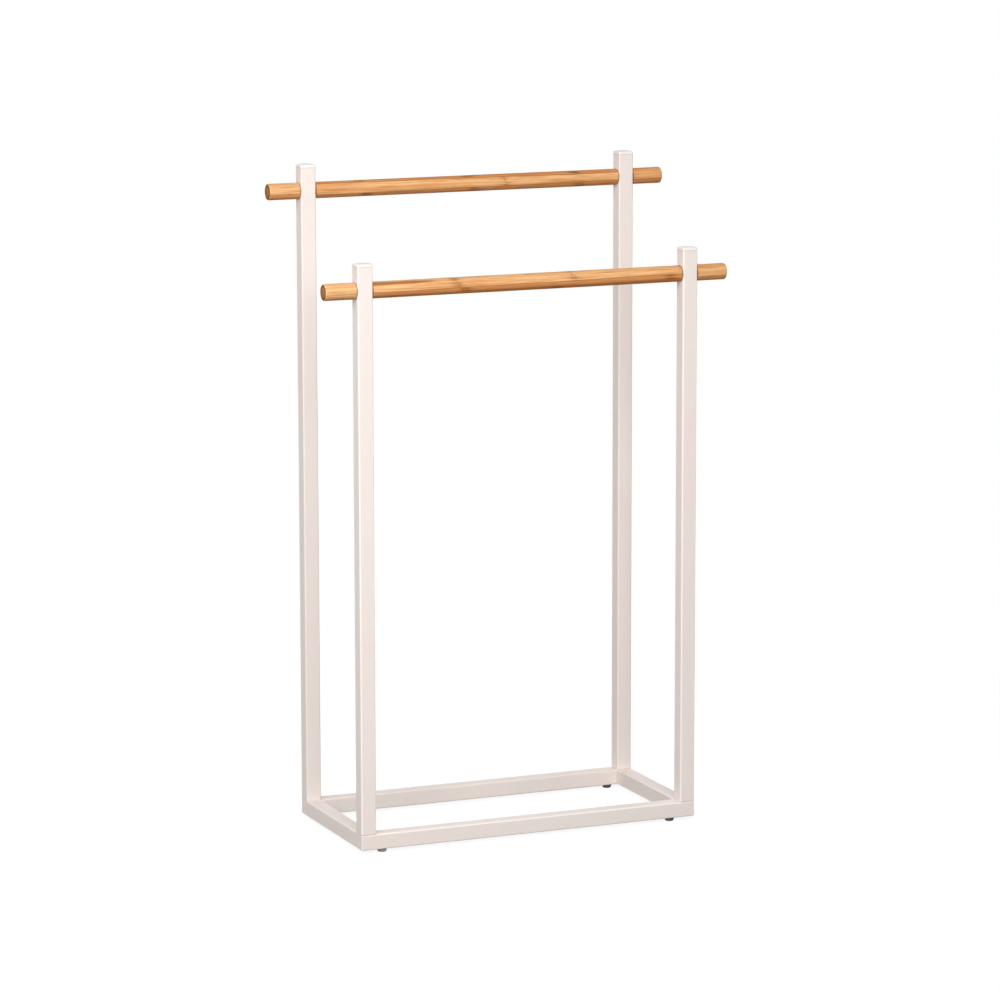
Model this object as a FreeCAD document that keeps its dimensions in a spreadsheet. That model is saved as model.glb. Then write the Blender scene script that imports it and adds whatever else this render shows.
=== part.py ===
"""Freestanding towel stand: two round bamboo bars at two heights between four square steel posts.

The posts stand on the corners of an open rectangular frame of the same tube, on four rubber feet.
X runs along the bars, Y from the low front bar to the high rear bar, Z up from the floor.
The origin is on the floor, under the middle of the base frame. Sizes are in millimetres.
"""
import FreeCAD, Part
import math
import os
import Sketcher
from FreeCAD import Placement, Rotation, Vector

doc = FreeCAD.newDocument("towel_stand")

# ---------------------------------------------------------------------------------------------------
# Driving dimensions
# ---------------------------------------------------------------------------------------------------

SIZES = [
    ("base_width", 440.0, "outer width of the base frame, along the bars"),
    ("base_depth", 206.0, "outer depth of the base frame"),
    ("tube_size", 19.0, "outer side of the square tube of the frame and the posts"),
    ("tube_wall", 1.0, "wall of the square tube"),
    ("tube_corner", 1.6, "outer corner radius of the square tube"),
    ("least_corner", 0.2, "sharpest inside corner of a tube or a stem"),
    ("frame_corner", 1.6, "rounding of the base frame's outer corners, where the welds are ground"),
    ("rear_bar_height", 779.0, "axis of the rear bar above the floor"),
    ("bar_step", 100.0, "the front bar is this much lower than the rear bar"),
    ("post_rise", 28.0, "post above the axis of its bar"),
    ("bar_diameter", 20.0, "diameter of the bamboo rod"),
    ("bar_ease", 0.4, "eased edge of the rod where it meets a post"),
    ("stub_length", 40.0, "bar end outside a post"),
    ("stub_rounding", 1.5, "rounding of the free rim of a bar end"),
    ("stud_diameter", 6.0, "hanger stud through a post"),
    ("stud_hole_gap", 0.25, "radial gap round the stud in the post's cross hole"),
    ("stud_in_stub", 24.0, "depth of the stud in a bar end"),
    ("stud_in_bar", 11.0, "reach of the stud into the bar"),
    ("stud_point", 1.0, "chamfer at both ends of a stud"),
    ("insert_wall", 1.5, "wall of the brass insert"),
    ("insert_length", 13.0, "length of the brass insert"),
    ("thread_gap", 0.02, "radial gap drawn between a thread and its nut or bore"),
    ("seat_gap", 0.02, "gap drawn at a glued or welded seat"),
    ("plug_length", 20.0, "threaded plug in the foot of a post"),
    ("bolt_diameter", 6.0, "thread of the base bolt"),
    ("bolt_length", 18.0, "base bolt under its head"),
    ("bolt_head_diameter", 10.0, "socket head"),
    ("bolt_head_height", 6.0, "socket head"),
    ("bolt_head_ease", 0.5, "chamfer on the socket head"),
    ("hex_key", 5.0, "hexagon socket across flats"),
    ("hex_depth", 3.0, "depth of the hexagon socket"),
    ("bolt_hole_gap", 0.25, "radial gap round the base bolt"),
    ("washer_rim", 3.0, "width of the washer's ring"),
    ("washer_thickness", 1.6, "flat washer"),
    ("access_gap", 1.0, "radial gap for the washer in the access hole under each corner"),
    ("cap_overhang", 0.15, "cap beyond each side of its post"),
    ("cap_height", 4.5, "cap above the post, at the top of its dome"),
    ("cap_dome_radius", 60.0, "radius of the domed top"),
    ("cap_rounding", 1.3, "rounding of the cap's top rim"),
    ("cap_stem_gap", 1.2, "gap between the cap's hollow stem and the tube's bore"),
    ("cap_stem_wall", 1.5, "wall of the cap's hollow stem"),
    ("cap_stem_length", 14.0, "depth of the cap's stem in the post"),
    ("cap_rib_height", 1.0, "height of each gripping rib on the stem"),
    ("cap_rib_pitch", 4.0, "distance from rib to rib, and from the cap to the first rib"),
    ("cap_rib_count", 3, "ribs on the stem"),
    ("foot_inset", 20.0, "foot's axis inboard of the post's axis"),
    ("foot_height", 5.0, "rubber foot under the frame"),
    ("foot_diameter", 12.6, "rubber foot where it meets the frame"),
    ("foot_taper", 1.2, "the foot is this much narrower all round at the floor"),
    ("foot_edge", 1.4, "rounding of the foot's lower rim"),
    ("foot_neck", 5.6, "neck of the foot in the rail's hole"),
    ("foot_neck_gap", 0.15, "radial gap round the neck"),
    ("foot_barb", 1.0, "barb beyond the neck, all round"),
    ("foot_barb_height", 4.5, "barb above the rail's bottom wall"),
]

sheet = doc.addObject("Spreadsheet::Sheet", "sizes")
for row, (alias, number, note) in enumerate(SIZES, start=1):
    sheet.set(f"A{row}", alias)
    sheet.set(f"B{row}", str(number))
    sheet.set(f"C{row}", note)
    sheet.setAlias(f"B{row}", alias)
doc.recompute()

# Lengths that several pieces share, as expressions on the sheet.
HALF_TUBE = "sizes.tube_size / 2"
POST_X = "(sizes.base_width / 2 - sizes.tube_size / 2)"
POST_Y = "(sizes.base_depth / 2 - sizes.tube_size / 2)"
FRAME_TOP = "(sizes.foot_height + sizes.tube_size)"
TUBE_BORE = "(sizes.tube_size - 2 * sizes.tube_wall)"
BORE_CORNER = "max(sizes.tube_corner - sizes.tube_wall; sizes.least_corner)"
BAR_HEIGHT = {"rear": "sizes.rear_bar_height", "front": "(sizes.rear_bar_height - sizes.bar_step)"}
STUD_HOLE = "(sizes.stud_diameter + 2 * sizes.stud_hole_gap)"
BOLT_HOLE = "(sizes.bolt_diameter + 2 * sizes.bolt_hole_gap)"
WASHER_DIAMETER = f"({BOLT_HOLE} + 2 * sizes.washer_rim)"
INSERT_DIAMETER = "(sizes.stud_diameter + 2 * sizes.insert_wall)"
BAR_LENGTH = "(sizes.base_width - 2 * sizes.tube_size)"
CAP_SIDE = "(sizes.tube_size + 2 * sizes.cap_overhang)"
CAP_RIM = "min(sizes.cap_rounding; sizes.cap_height / 3; sizes.tube_corner - sizes.least_corner)"
STEM_SIDE = f"({TUBE_BORE} - 2 * sizes.cap_stem_gap)"
STEM_BORE = f"({STEM_SIDE} - 2 * sizes.cap_stem_wall)"


def size(expression):
    """The present value of an expression on the sheet."""
    return float(sheet.evalExpression(expression))


# ---------------------------------------------------------------------------------------------------
# Drawing helpers
# ---------------------------------------------------------------------------------------------------

def new_body(name):
    body = doc.addObject("PartDesign::Body", name)
    body.Label = name
    return body


def origin_plane(body, role):
    return next(feature for feature in body.Origin.OriginFeatures if feature.Role == role)


def new_sketch(body, name, role="XY_Plane", height=None):
    """A sketch on one of the body's own planes, raised along the plane's normal by an expression."""
    sketch = body.newObject("Sketcher::SketchObject", name)
    sketch.AttachmentSupport = (origin_plane(body, role), [""])
    sketch.MapMode = "FlatFace"
    if height:
        sketch.setExpression("AttachmentOffset.Base.z", height)
    return sketch


def bind(sketch, constraint, expression):
    index = sketch.addConstraint(constraint)
    sketch.setExpression(f"Constraints[{index}]", expression)


def draw_square(sketch, side, corner):
    """A square with round corners about the sketch's origin; side and corner are expressions."""
    half = size(side) / 2
    radius = size(corner)
    straight = half - radius
    up = Vector(0, 0, 1)
    ends = [
        (Vector(-straight, -half), Vector(straight, -half)),
        (Vector(half, -straight), Vector(half, straight)),
        (Vector(straight, half), Vector(-straight, half)),
        (Vector(-half, straight), Vector(-half, -straight)),
    ]
    centres = [Vector(straight, -straight), Vector(straight, straight),
               Vector(-straight, straight), Vector(-straight, -straight)]
    lines = [sketch.addGeometry(Part.LineSegment(start, end)) for start, end in ends]
    quarter = math.pi / 2
    arcs = []
    for turn, centre in enumerate(centres):
        circle = Part.Circle(centre, up, radius)
        arcs.append(sketch.addGeometry(Part.ArcOfCircle(circle, (turn - 1) * quarter, turn * quarter)))
    for turn in range(4):
        sketch.addConstraint(Sketcher.Constraint("Tangent", lines[turn], 2, arcs[turn], 1))
        sketch.addConstraint(Sketcher.Constraint("Tangent", arcs[turn], 2, lines[(turn + 1) % 4], 1))
    for turn in (1, 2, 3):
        sketch.addConstraint(Sketcher.Constraint("Equal", arcs[0], arcs[turn]))
    for turn in (0, 2):
        sketch.addConstraint(Sketcher.Constraint("Horizontal", lines[turn]))
        sketch.addConstraint(Sketcher.Constraint("Vertical", lines[turn + 1]))
    sketch.addConstraint(Sketcher.Constraint("Symmetric", arcs[1], 3, arcs[3], 3, -1, 1))
    bind(sketch, Sketcher.Constraint("Radius", arcs[0], radius), corner)
    bind(sketch, Sketcher.Constraint("DistanceX", lines[3], 1, lines[1], 1, 2 * half), side)
    bind(sketch, Sketcher.Constraint("DistanceY", lines[0], 1, lines[2], 1, 2 * half), side)


def draw_circle(sketch, diameter, across="0", along="0"):
    """A circle whose diameter and centre are expressions."""
    centre = Vector(size(across), size(along))
    circle = sketch.addGeometry(Part.Circle(centre, Vector(0, 0, 1), size(diameter) / 2))
    bind(sketch, Sketcher.Constraint("Diameter", circle, size(diameter)), diameter)
    place_point(sketch, circle, 3, across, along)


def place_point(sketch, shape, point, across, along):
    """Fix one point of a sketch by its two distances from the origin."""
    if across == "0":
        sketch.addConstraint(Sketcher.Constraint("PointOnObject", shape, point, -2))
    else:
        bind(sketch, Sketcher.Constraint("DistanceX", -1, 1, shape, point, size(across)), across)
    if along == "0":
        sketch.addConstraint(Sketcher.Constraint("PointOnObject", shape, point, -1))
    else:
        bind(sketch, Sketcher.Constraint("DistanceY", -1, 1, shape, point, size(along)), along)


def draw_outline(sketch, corners):
    """A closed outline of straight lines through corners, each a pair of expressions."""
    points = [Vector(size(across), size(along)) for across, along in corners]
    lines = []
    for start, end in zip(points, points[1:] + points[:1]):
        lines.append(sketch.addGeometry(Part.LineSegment(start, end)))
    for line, following in zip(lines, lines[1:] + lines[:1]):
        sketch.addConstraint(Sketcher.Constraint("Coincident", line, 2, following, 1))
    for line, (across, along) in zip(lines, corners):
        place_point(sketch, line, 1, across, along)


def draw_rounding(sketch, corner, radius):
    """What a rounding takes off: a square about a corner, less the round end of the piece inside it.

    The corner is a pair of expressions; the piece lies on its -X, +Y side.
    """
    across, along = corner
    stations = [
        (f"{across} - {radius}", along),
        (f"{across} - {radius}", f"{along} - {radius}"),
        (f"{across} + {radius}", f"{along} - {radius}"),
        (f"{across} + {radius}", f"{along} + {radius}"),
        (across, f"{along} + {radius}"),
    ]
    points = [Vector(size(x), size(y)) for x, y in stations]
    lines = [sketch.addGeometry(Part.LineSegment(*ends)) for ends in zip(points, points[1:])]
    centre = Vector(points[0].x, points[-1].y)
    circle = Part.Circle(centre, Vector(0, 0, 1), size(radius))
    arc = sketch.addGeometry(Part.ArcOfCircle(circle, -math.pi / 2, 0))
    for line, following in zip(lines, lines[1:]):
        sketch.addConstraint(Sketcher.Constraint("Coincident", line, 2, following, 1))
    sketch.addConstraint(Sketcher.Constraint("Coincident", lines[-1], 2, arc, 2))
    sketch.addConstraint(Sketcher.Constraint("Coincident", arc, 1, lines[0], 1))
    bind(sketch, Sketcher.Constraint("Radius", arc, size(radius)), radius)
    for line, (x, y) in zip(lines, stations):
        place_point(sketch, line, 1, x, y)
    place_point(sketch, lines[-1], 2, *stations[-1])


def add_pad(body, sketch, length, symmetric=False, reverse=False):
    pad = body.newObject("PartDesign::Pad", sketch.Name + "_pad")
    pad.Profile = sketch
    pad.setExpression("Length", length)
    pad.SideType = "Symmetric" if symmetric else "One side"
    pad.Reversed = reverse
    return pad


def add_pocket(body, sketch, length, symmetric=False, reverse=False):
    """A cut from the sketch along its plane's normal turned round, or along it with reverse."""
    pocket = body.newObject("PartDesign::Pocket", sketch.Name + "_cut")
    pocket.Profile = sketch
    pocket.setExpression("Length", length)
    pocket.SideType = "Symmetric" if symmetric else "One side"
    pocket.Reversed = reverse
    return pocket


def add_mirror(body, originals, role):
    mirror = body.newObject("PartDesign::Mirrored", originals[-1].Name + "_mirror")
    mirror.Originals = originals
    mirror.MirrorPlane = (origin_plane(body, role), [""])
    body.Tip = mirror
    return mirror


def add_turning(body, name, corners, axis):
    """A solid turned about the sketch's own axis, H_Axis or V_Axis, from an outline in the XZ plane."""
    sketch = new_sketch(body, name, "XZ_Plane")
    draw_outline(sketch, corners)
    turning = body.newObject("PartDesign::Revolution", name + "_turned")
    turning.Profile = sketch
    turning.ReferenceAxis = (sketch, [axis])
    turning.Angle = 360
    return turning


def round_rim(body, feature, radius, is_rim):
    """Round the edges of a feature for which is_rim holds."""
    doc.recompute()
    names = [f"Edge{number}" for number, edge in enumerate(feature.Shape.Edges, start=1) if is_rim(edge)]
    fillet = body.newObject("PartDesign::Fillet", feature.Name + "_rounded")
    fillet.Base = (feature, names)
    fillet.setExpression("Radius", radius)
    return fillet


def place(piece, across="0", back="0", height="0", turn=0):
    """Put a piece at three expressions, turned about Z by a number of degrees."""
    piece.Placement = Placement(Vector(0, 0, 0), Rotation(Vector(0, 0, 1), turn))
    piece.setExpression("Placement.Base.x", across)
    piece.setExpression("Placement.Base.y", back)
    piece.setExpression("Placement.Base.z", height)


def mirrored_copy(source, name, normal):
    copy = doc.addObject("Part::Mirroring", name)
    copy.Source = source
    copy.Normal = normal
    return copy


def left_and_right(source, label):
    """One node that holds a piece on the right and its mirror image on the left."""
    left = mirrored_copy(source, source.Name + "_left", Vector(1, 0, 0))
    return group([source, left], label)


def four_corners(source, label):
    """One node that holds a piece at the rear right corner and its mirror images at the other three."""
    left = mirrored_copy(source, source.Name + "_left", Vector(1, 0, 0))
    front = mirrored_copy(source, source.Name + "_front", Vector(0, 1, 0))
    front_left = mirrored_copy(left, source.Name + "_front_left", Vector(0, 1, 0))
    return group([source, left, front, front_left], label)


def group(members, label):
    compound = doc.addObject("Part::Compound", label)
    compound.Links = members
    compound.Label = label
    return compound


# ---------------------------------------------------------------------------------------------------
# Base frame: four lengths of square tube, mitred, welded and ground flush
# ---------------------------------------------------------------------------------------------------

def make_rail(name, length, has_feet):
    """A rail along X about the origin, with its outer side towards -Y.

    The corner bolt passes a half hole in the top wall and is reached through a wider one in the bottom
    wall: both lie on the mitre, so each rail holds half of them.
    """
    body = new_body(name)
    half = f"{length} / 2"
    section = new_sketch(body, name + "_section", "YZ_Plane")
    draw_square(section, "sizes.tube_size", "sizes.tube_corner")
    draw_square(section, TUBE_BORE, BORE_CORNER)
    add_pad(body, section, length, symmetric=True)

    mitre = new_sketch(body, name + "_mitre")
    draw_outline(mitre, [
        (half, f"-{HALF_TUBE}"),
        (f"{half} + sizes.tube_size", HALF_TUBE),
        (f"{half} - sizes.tube_size", HALF_TUBE),
    ])
    cuts = [add_pocket(body, mitre, "2 * sizes.tube_size", symmetric=True)]

    rounding = new_sketch(body, name + "_rounding")
    draw_rounding(rounding, (half, f"-{HALF_TUBE}"), "sizes.frame_corner")
    cuts.append(add_pocket(body, rounding, "2 * sizes.tube_size", symmetric=True))

    corner = f"{half} - {HALF_TUBE}"
    bolt_hole = new_sketch(body, name + "_bolt_hole")
    draw_circle(bolt_hole, BOLT_HOLE, across=corner)
    cuts.append(add_pocket(body, bolt_hole, "sizes.tube_size", reverse=True))

    access_hole = new_sketch(body, name + "_access_hole")
    draw_circle(access_hole, f"{WASHER_DIAMETER} + 2 * sizes.access_gap", across=corner)
    cuts.append(add_pocket(body, access_hole, "sizes.tube_size"))

    if has_feet:
        foot_hole = new_sketch(body, name + "_foot_hole")
        draw_circle(foot_hole, "sizes.foot_neck + 2 * sizes.foot_neck_gap",
                    across=f"{corner} - sizes.foot_inset")
        cuts.append(add_pocket(body, foot_hole, "sizes.tube_size"))
    add_mirror(body, cuts, "YZ_Plane")
    return body


rail_height = f"sizes.foot_height + {HALF_TUBE}"

base_front_rail = make_rail("base_front_rail", "sizes.base_width", has_feet=True)
place(base_front_rail, back=f"-{POST_Y}", height=rail_height)

base_rear_rail = make_rail("base_rear_rail", "sizes.base_width", has_feet=True)
place(base_rear_rail, back=POST_Y, height=rail_height, turn=180)

base_left_rail = make_rail("base_left_rail", "sizes.base_depth", has_feet=False)
place(base_left_rail, across=f"-{POST_X}", height=rail_height, turn=-90)

base_right_rail = make_rail("base_right_rail", "sizes.base_depth", has_feet=False)
place(base_right_rail, across=POST_X, height=rail_height, turn=90)


# ---------------------------------------------------------------------------------------------------
# Posts: square tube, cut square, standing on the corners of the frame
# ---------------------------------------------------------------------------------------------------

def make_post(name, bar_height):
    """A post from its foot upwards, with a cross hole along X for the stud of its bar."""
    body = new_body(name)
    section = new_sketch(body, name + "_section")
    draw_square(section, "sizes.tube_size", "sizes.tube_corner")
    draw_square(section, TUBE_BORE, BORE_CORNER)
    add_pad(body, section, f"{bar_height} + sizes.post_rise - {FRAME_TOP}")
    stud_hole = new_sketch(body, name + "_stud_hole", "YZ_Plane")
    draw_circle(stud_hole, STUD_HOLE, along=f"{bar_height} - {FRAME_TOP}")
    add_pocket(body, stud_hole, "2 * sizes.tube_size", symmetric=True)
    return body


# ---------------------------------------------------------------------------------------------------
# Post caps: white plastic, domed, with a hollow ribbed stem pushed into the tube
# ---------------------------------------------------------------------------------------------------

def make_cap(name):
    """A cap whose underside lies at its origin, on the end of the post."""
    body = new_body(name)
    outer = new_sketch(body, name + "_outer")
    draw_square(outer, CAP_SIDE, "sizes.tube_corner")
    add_pad(body, outer, "sizes.cap_height")
    dome = cut_dome(body, name)
    below_rim = size("sizes.cap_height") / 2
    round_rim(body, dome, CAP_RIM, lambda edge: edge.BoundBox.ZMin > below_rim)
    add_stem(body, name)
    return body


def cut_dome(body, name):
    """Turn away the flat top of a cap, above an arc that falls from the axis to beyond the corners."""
    radius = "sizes.cap_dome_radius"
    crown = Vector(0, size("sizes.cap_height"))
    centre = crown - Vector(0, size(radius))
    reach = size(CAP_SIDE)
    fallen = Vector(reach, centre.y + math.sqrt(size(radius) ** 2 - reach ** 2))
    sketch = new_sketch(body, name + "_dome", "XZ_Plane")
    circle = Part.Circle(centre, Vector(0, 0, 1), size(radius))
    arc = sketch.addGeometry(Part.ArcOfCircle(circle, math.acos(reach / size(radius)), math.pi / 2))
    side = sketch.addGeometry(Part.LineSegment(fallen, Vector(reach, 2 * crown.y)))
    lid = sketch.addGeometry(Part.LineSegment(Vector(reach, 2 * crown.y), 2 * crown))
    axis = sketch.addGeometry(Part.LineSegment(2 * crown, crown))
    sketch.addConstraint(Sketcher.Constraint("Coincident", arc, 1, side, 1))
    sketch.addConstraint(Sketcher.Constraint("Coincident", side, 2, lid, 1))
    sketch.addConstraint(Sketcher.Constraint("Coincident", lid, 2, axis, 1))
    sketch.addConstraint(Sketcher.Constraint("Coincident", axis, 2, arc, 2))
    sketch.addConstraint(Sketcher.Constraint("PointOnObject", arc, 3, -2))
    sketch.addConstraint(Sketcher.Constraint("Vertical", side))
    bind(sketch, Sketcher.Constraint("Radius", arc, size(radius)), radius)
    place_point(sketch, axis, 2, "0", "sizes.cap_height")
    place_point(sketch, axis, 1, "0", "2 * sizes.cap_height")
    place_point(sketch, side, 2, CAP_SIDE, "2 * sizes.cap_height")
    groove = body.newObject("PartDesign::Groove", name + "_dome_cut")
    groove.Profile = sketch
    groove.ReferenceAxis = (sketch, ["V_Axis"])
    groove.Angle = 360
    return groove


def add_stem(body, name):
    """A hollow square stem below the cap, with ribs that reach the tube's bore."""
    stem = new_sketch(body, name + "_stem")
    draw_square(stem, STEM_SIDE, BORE_CORNER)
    draw_square(stem, STEM_BORE, "sizes.least_corner")
    add_pad(body, stem, "sizes.cap_stem_length", reverse=True)
    rib = new_sketch(body, name + "_rib", height="-sizes.cap_rib_pitch")
    draw_square(rib, f"{TUBE_BORE} - 2 * sizes.seat_gap", BORE_CORNER)
    draw_square(rib, STEM_BORE, "sizes.least_corner")
    rib_pad = add_pad(body, rib, "sizes.cap_rib_height", reverse=True)
    ribs = body.newObject("PartDesign::LinearPattern", name + "_ribs")
    ribs.Originals = [rib_pad]
    ribs.Direction = (rib, ["N_Axis"])
    ribs.Reversed = True
    ribs.setExpression("Occurrences", "sizes.cap_rib_count")
    ribs.setExpression("Length", "(sizes.cap_rib_count - 1) * sizes.cap_rib_pitch")
    body.Tip = ribs


SIDES = {"left": "-", "right": ""}
ROWS = {"front": "-", "rear": ""}

for row_name, back_sign in ROWS.items():
    bar_height = BAR_HEIGHT[row_name]
    for side_name, across_sign in SIDES.items():
        post = make_post(f"post_{row_name}_{side_name}", bar_height)
        place(post, across_sign + POST_X, back_sign + POST_Y, FRAME_TOP)
        cap = make_cap(f"cap_{row_name}_{side_name}")
        place(cap, across_sign + POST_X, back_sign + POST_Y, f"{bar_height} + sizes.post_rise")


# ---------------------------------------------------------------------------------------------------
# Corner joints: a bolt and washer inside the base tube, up into a threaded plug in each post
# ---------------------------------------------------------------------------------------------------

def make_plug():
    """The steel plug in the foot of a post, from its lower face upwards."""
    body = new_body("post_plug")
    section = new_sketch(body, "plug_section")
    draw_square(section, f"{TUBE_BORE} - 2 * sizes.seat_gap", BORE_CORNER)
    draw_circle(section, "sizes.bolt_diameter + 2 * sizes.thread_gap")
    add_pad(body, section, "sizes.plug_length")
    return body


def make_bolt():
    """A socket-head bolt pointing up, with the bearing face of its head at the origin."""
    body = new_body("base_bolt")
    shank = "sizes.bolt_diameter / 2"
    head = "sizes.bolt_head_diameter / 2"
    ease = "sizes.bolt_head_ease"
    add_turning(body, "bolt_profile", [
        ("0", "sizes.bolt_length"),
        (f"{shank} - {ease}", "sizes.bolt_length"),
        (shank, f"sizes.bolt_length - {ease}"),
        (shank, "0"),
        (head, "0"),
        (head, f"{ease} - sizes.bolt_head_height"),
        (f"{head} - {ease}", "-sizes.bolt_head_height"),
        ("0", "-sizes.bolt_head_height"),
    ], "V_Axis")
    doc.recompute()
    socket = body.newObject("PartDesign::SubtractivePrism", "hex_socket")
    socket.AttachmentSupport = (origin_plane(body, "XY_Plane"), [""])
    socket.MapMode = "FlatFace"
    socket.Polygon = 6
    socket.setExpression("Circumradius", "sizes.hex_key / sqrt(3)")
    socket.setExpression("Height", "sizes.hex_depth")
    socket.setExpression("AttachmentOffset.Base.z", "-sizes.bolt_head_height")
    return body


def make_washer():
    """A flat washer from its lower face upwards."""
    body = new_body("base_washer")
    ring = new_sketch(body, "washer_ring")
    draw_circle(ring, WASHER_DIAMETER)
    draw_circle(ring, BOLT_HOLE)
    add_pad(body, ring, "sizes.washer_thickness")
    return body


washer_seat = f"{FRAME_TOP} - sizes.tube_wall - sizes.washer_thickness"

plug = make_plug()
place(plug, POST_X, POST_Y, FRAME_TOP)
post_plugs = four_corners(plug, "post_plugs")

washer = make_washer()
place(washer, POST_X, POST_Y, washer_seat)
base_washers = four_corners(washer, "base_washers")

bolt = make_bolt()
place(bolt, POST_X, POST_Y, washer_seat)
base_bolts = four_corners(bolt, "base_bolts")


# ---------------------------------------------------------------------------------------------------
# Bars: a bamboo rod between two posts and a stub outside each, pulled together by hanger studs
# ---------------------------------------------------------------------------------------------------

def make_bar(name):
    """A rod along X about the origin, with a blind bore at each end for a brass insert."""
    body = new_body(name)
    half = f"{BAR_LENGTH} / 2"
    radius = "sizes.bar_diameter / 2"
    ease = "sizes.bar_ease"
    bore = f"{INSERT_DIAMETER} / 2 + sizes.seat_gap"
    floor = f"{half} - sizes.insert_length"
    add_turning(body, name + "_profile", [
        (f"-({half})", bore),
        (f"-({half})", f"{radius} - {ease}"),
        (f"{ease} - {half}", radius),
        (f"{half} - {ease}", radius),
        (half, f"{radius} - {ease}"),
        (half, bore),
        (floor, bore),
        (floor, "0"),
        (f"-({floor})", "0"),
        (f"-({floor})", bore),
    ], "H_Axis")
    return body


def make_stub(name):
    """A bar end along +X from the post's outer face, with a blind bore for its stud."""
    body = new_body(name)
    radius = "sizes.bar_diameter / 2"
    ease = "sizes.bar_ease"
    bore = "sizes.stud_diameter / 2 + sizes.thread_gap"
    turned = add_turning(body, name + "_profile", [
        ("0", bore),
        ("0", f"{radius} - {ease}"),
        (ease, radius),
        ("sizes.stub_length", radius),
        ("sizes.stub_length", "0"),
        ("sizes.stud_in_stub", "0"),
        ("sizes.stud_in_stub", bore),
    ], "H_Axis")
    behind_rim = size("sizes.stub_length - sizes.bar_ease")
    round_rim(body, turned, "sizes.stub_rounding", lambda edge: edge.BoundBox.XMin > behind_rim)
    return body


def make_stud(name):
    """A hanger stud along X, from a post's outer face out into the stub and in to the bar."""
    body = new_body(name)
    inner_end = "sizes.tube_size + sizes.stud_in_bar"
    radius = "sizes.stud_diameter / 2"
    point = "sizes.stud_point"
    add_turning(body, name + "_profile", [
        (f"-({inner_end})", "0"),
        (f"-({inner_end})", f"{radius} - {point}"),
        (f"{point} - ({inner_end})", radius),
        (f"sizes.stud_in_stub - {point}", radius),
        ("sizes.stud_in_stub", f"{radius} - {point}"),
        ("sizes.stud_in_stub", "0"),
    ], "H_Axis")
    return body


def make_insert(name):
    """A brass sleeve along -X from the bar's end, which lies at the origin."""
    body = new_body(name)
    section = new_sketch(body, name + "_section", "YZ_Plane")
    draw_circle(section, INSERT_DIAMETER)
    draw_circle(section, "sizes.stud_diameter + 2 * sizes.thread_gap")
    add_pad(body, section, "sizes.insert_length", reverse=True)
    return body


for row_name, back_sign in ROWS.items():
    back = back_sign + POST_Y
    height = BAR_HEIGHT[row_name]
    bar = make_bar(f"{row_name}_bar")
    place(bar, "0", back, height)
    for side_name, across_sign in SIDES.items():
        stub = make_stub(f"{row_name}_bar_end_{side_name}")
        place(stub, f"{across_sign}sizes.base_width / 2", back, height, turn=180 if across_sign else 0)
    stud = make_stud(f"{row_name}_stud")
    place(stud, "sizes.base_width / 2", back, height)
    left_and_right(stud, f"{row_name}_bar_studs")
    insert = make_insert(f"{row_name}_insert")
    place(insert, f"{BAR_LENGTH} / 2", back, height)
    left_and_right(insert, f"{row_name}_bar_inserts")


# ---------------------------------------------------------------------------------------------------
# Feet: rubber buttons pushed up into holes in the front and rear rails
# ---------------------------------------------------------------------------------------------------

def make_foot(name):
    """A foot from the floor upwards: tapered head, neck through the rail's bottom wall, barb inside."""
    body = new_body(name)
    head = "sizes.foot_diameter / 2"
    neck = "sizes.foot_neck / 2"
    barb = f"{neck} + sizes.foot_barb"
    wall_top = "sizes.foot_height + sizes.tube_wall"
    turned = add_turning(body, name + "_profile", [
        ("0", "0"),
        (f"{head} - sizes.foot_taper", "0"),
        (head, "sizes.foot_height"),
        (neck, "sizes.foot_height"),
        (neck, wall_top),
        (barb, f"{wall_top} + sizes.foot_barb / 2"),
        (f"{neck} - sizes.foot_barb", f"{wall_top} + sizes.foot_barb_height"),
        ("0", f"{wall_top} + sizes.foot_barb_height"),
    ], "V_Axis")
    above_rim = size("sizes.foot_edge")
    round_rim(body, turned, "sizes.foot_edge", lambda edge: edge.BoundBox.ZMax < above_rim)
    return body


for row_name, back_sign in ROWS.items():
    for side_name, across_sign in SIDES.items():
        foot = make_foot(f"foot_{row_name}_{side_name}")
        place(foot, f"{across_sign}({POST_X} - sizes.foot_inset)", back_sign + POST_Y)


# ---------------------------------------------------------------------------------------------------
# Check every object and write one file for each piece
# ---------------------------------------------------------------------------------------------------

doc.recompute()
for item in doc.Objects:
    if "Invalid" in item.State or "Error" in item.State:
        raise RuntimeError(f"{item.Name} failed: {item.State}")

grouped = {member for item in doc.Objects if item.TypeId == "Part::Compound" for member in item.Links}
bodies = [item for item in doc.Objects if item.TypeId == "PartDesign::Body" and item not in grouped]
groups = [item for item in doc.Objects if item.TypeId == "Part::Compound"]

os.makedirs("parts", exist_ok=True)
for piece in bodies + groups:
    shape = piece.Shape
    if shape.isNull() or not shape.isValid():
        raise RuntimeError(f"{piece.Label} has no valid shape")
    shape.exportStep(f"parts/{piece.Label}.step")
    print(f"{piece.Label:24} {len(shape.Solids)} solid(s)  {shape.Volume:10.1f} mm3")
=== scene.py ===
"""Looks of a freestanding towel stand: white square tube, two bamboo bars, rubber feet.

X runs along the bars, Y from the low front bar to the high rear bar, Z up from the floor, in metres.
"""
import math

import bpy
from mathutils import Euler, Matrix, Vector


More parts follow.
